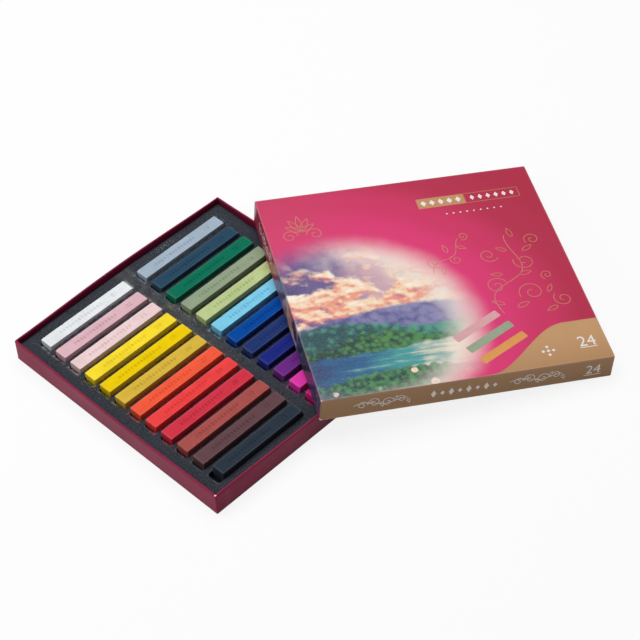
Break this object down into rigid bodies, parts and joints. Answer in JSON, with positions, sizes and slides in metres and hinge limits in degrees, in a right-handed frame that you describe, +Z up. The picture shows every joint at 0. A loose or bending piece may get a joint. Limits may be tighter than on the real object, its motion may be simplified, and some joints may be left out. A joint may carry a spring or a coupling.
{
  "type": "lidded box of pastel sticks",
  "caption": "Shallow rigid paper-covered box with a lift-off lid and a die-cut foam insert that holds square pastel sticks in two rows; lid off and leaning on the tray.",
  "frame": {"origin": "middle of the tray's underside, on the surface that the tray stands on", "axes": "+X across the sticks, along each row; +Y along each stick, towards the row nearer the leaning lid; +Z up, out of the tray"},
  "size_m": [0.3065, 0.3599, 0.0369],
  "materials": {
    "greyboard": "matte",
    "corner_tape": "matte",
    "tray_paper": "satin",
    "lid_paper": "satin",
    "foam": "matte",
    "pastel_white": "matte",
    "pastel_pink": "matte",
    "pastel_pale_pink": "matte",
    "pastel_lemon_yellow": "matte",
    "pastel_chrome_yellow": "matte",
    "pastel_ochre": "matte",
    "pastel_vermilion": "matte",
    "pastel_scarlet": "matte",
    "pastel_crimson": "matte",
    "pastel_brick_brown": "matte",
    "pastel_maroon_brown": "matte",
    "pastel_charcoal": "matte",
    "pastel_pale_grey_blue": "matte",
    "pastel_dark_blue_grey": "matte",
    "pastel_dark_green": "matte",
    "pastel_sage": "matte",
    "pastel_lime": "matte",
    "pastel_sky_blue": "matte",
    "pastel_blue": "matte",
    "pastel_indigo": "matte",
    "pastel_ultramarine": "matte",
    "pastel_violet": "matte",
    "pastel_magenta_pink": "matte",
    "pastel_deep_rose": "matte"
  },
  "bodies": {
    "tray": {"tray_board": "greyboard", "tray_corner_stays": "corner_tape", "tray_wrap": "tray_paper", "foam_base": "foam", "foam_insert": "foam"},
    "lid": {"lid_board": "greyboard", "lid_corner_stays": "corner_tape", "lid_wrap": "lid_paper"},
    "pastel_front_01": {"pastel_front_01": "pastel_white"},
    "pastel_front_02": {"pastel_front_02": "pastel_pink"},
    "pastel_front_03": {"pastel_front_03": "pastel_pale_pink"},
    "pastel_front_04": {"pastel_front_04": "pastel_lemon_yellow"},
    "pastel_front_05": {"pastel_front_05": "pastel_chrome_yellow"},
    "pastel_front_06": {"pastel_front_06": "pastel_ochre"},
    "pastel_front_07": {"pastel_front_07": "pastel_vermilion"},
    "pastel_front_08": {"pastel_front_08": "pastel_scarlet"},
    "pastel_front_09": {"pastel_front_09": "pastel_crimson"},
    "pastel_front_10": {"pastel_front_10": "pastel_brick_brown"},
    "pastel_front_11": {"pastel_front_11": "pastel_maroon_brown"},
    "pastel_front_12": {"pastel_front_12": "pastel_charcoal"},
    "pastel_back_01": {"pastel_back_01": "pastel_pale_grey_blue"},
    "pastel_back_02": {"pastel_back_02": "pastel_dark_blue_grey"},
    "pastel_back_03": {"pastel_back_03": "pastel_dark_green"},
    "pastel_back_04": {"pastel_back_04": "pastel_sage"},
    "pastel_back_05": {"pastel_back_05": "pastel_lime"},
    "pastel_back_06": {"pastel_back_06": "pastel_sky_blue"},
    "pastel_back_07": {"pastel_back_07": "pastel_blue"},
    "pastel_back_08": {"pastel_back_08": "pastel_indigo"},
    "pastel_back_09": {"pastel_back_09": "pastel_ultramarine"},
    "pastel_back_10": {"pastel_back_10": "pastel_violet"},
    "pastel_back_11": {"pastel_back_11": "pastel_magenta_pink"},
    "pastel_back_12": {"pastel_back_12": "pastel_deep_rose"}
  },
  "joints": [
    {"name": "lid_lift", "type": "slide", "parent": "tray", "child": "lid", "axis": [0, 0, 1], "range_m": [0, 0.06]},
    {"name": "pastel_front_01_lift", "type": "slide", "parent": "tray", "child": "pastel_front_01", "axis": [0, 0, 1], "range_m": [0, 0.02]},
    {"name": "pastel_front_02_lift", "type": "slide", "parent": "tray", "child": "pastel_front_02", "axis": [0, 0, 1], "range_m": [0, 0.02]},
    {"name": "pastel_front_03_lift", "type": "slide", "parent": "tray", "child": "pastel_front_03", "axis": [0, 0, 1], "range_m": [0, 0.02]},
    {"name": "pastel_front_04_lift", "type": "slide", "parent": "tray", "child": "pastel_front_04", "axis": [0, 0, 1], "range_m": [0, 0.02]},
    {"name": "pastel_front_05_lift", "type": "slide", "parent": "tray", "child": "pastel_front_05", "axis": [0, 0, 1], "range_m": [0, 0.02]},
    {"name": "pastel_front_06_lift", "type": "slide", "parent": "tray", "child": "pastel_front_06", "axis": [0, 0, 1], "range_m": [0, 0.02]},
    {"name": "pastel_front_07_lift", "type": "slide", "parent": "tray", "child": "pastel_front_07", "axis": [0, 0, 1], "range_m": [0, 0.02]},
    {"name": "pastel_front_08_lift", "type": "slide", "parent": "tray", "child": "pastel_front_08", "axis": [0, 0, 1], "range_m": [0, 0.02]},
    {"name": "pastel_front_09_lift", "type": "slide", "parent": "tray", "child": "pastel_front_09", "axis": [0, 0, 1], "range_m": [0, 0.02]},
    {"name": "pastel_front_10_lift", "type": "slide", "parent": "tray", "child": "pastel_front_10", "axis": [0, 0, 1], "range_m": [0, 0.02]},
    {"name": "pastel_front_11_lift", "type": "slide", "parent": "tray", "child": "pastel_front_11", "axis": [0, 0, 1], "range_m": [0, 0.02]},
    {"name": "pastel_front_12_lift", "type": "slide", "parent": "tray", "child": "pastel_front_12", "axis": [0, 0, 1], "range_m": [0, 0.02]},
    {"name": "pastel_back_01_lift", "type": "slide", "parent": "tray", "child": "pastel_back_01", "axis": [0, 0, 1], "range_m": [0, 0.02]},
    {"name": "pastel_back_02_lift", "type": "slide", "parent": "tray", "child": "pastel_back_02", "axis": [0, 0, 1], "range_m": [0, 0.02]},
    {"name": "pastel_back_03_lift", "type": "slide", "parent": "tray", "child": "pastel_back_03", "axis": [0, 0, 1], "range_m": [0, 0.02]},
    {"name": "pastel_back_04_lift", "type": "slide", "parent": "tray", "child": "pastel_back_04", "axis": [0, 0, 1], "range_m": [0, 0.02]},
    {"name": "pastel_back_05_lift", "type": "slide", "parent": "tray", "child": "pastel_back_05", "axis": [0, 0, 1], "range_m": [0, 0.02]},
    {"name": "pastel_back_06_lift", "type": "slide", "parent": "tray", "child": "pastel_back_06", "axis": [0, 0, 1], "range_m": [0, 0.02]},
    {"name": "pastel_back_07_lift", "type": "slide", "parent": "tray", "child": "pastel_back_07", "axis": [0, 0, 1], "range_m": [0, 0.02]},
    {"name": "pastel_back_08_lift", "type": "slide", "parent": "tray", "child": "pastel_back_08", "axis": [0, 0, 1], "range_m": [0, 0.02]},
    {"name": "pastel_back_09_lift", "type": "slide", "parent": "tray", "child": "pastel_back_09", "axis": [0, 0, 1], "range_m": [0, 0.02]},
    {"name": "pastel_back_10_lift", "type": "slide", "parent": "tray", "child": "pastel_back_10", "axis": [0, 0, 1], "range_m": [0, 0.02]},
    {"name": "pastel_back_11_lift", "type": "slide", "parent": "tray", "child": "pastel_back_11", "axis": [0, 0, 1], "range_m": [0, 0.02]},
    {"name": "pastel_back_12_lift", "type": "slide", "parent": "tray", "child": "pastel_back_12", "axis": [0, 0, 1], "range_m": [0, 0.02]}
  ],
  "couplings": [
    {"joint": "pastel_back_04_lift", "follows": "lid_lift", "ratio": 0.3333},
    {"joint": "pastel_back_05_lift", "follows": "lid_lift", "ratio": 0.3333},
    {"joint": "pastel_back_06_lift", "follows": "lid_lift", "ratio": 0.3333},
    {"joint": "pastel_back_07_lift", "follows": "lid_lift", "ratio": 0.3333},
    {"joint": "pastel_back_08_lift", "follows": "lid_lift", "ratio": 0.3333},
    {"joint": "pastel_back_09_lift", "follows": "lid_lift", "ratio": 0.3333},
    {"joint": "pastel_back_10_lift", "follows": "lid_lift", "ratio": 0.3333},
    {"joint": "pastel_back_11_lift", "follows": "lid_lift", "ratio": 0.3333},
    {"joint": "pastel_back_12_lift", "follows": "lid_lift", "ratio": 0.3333}
  ]
}
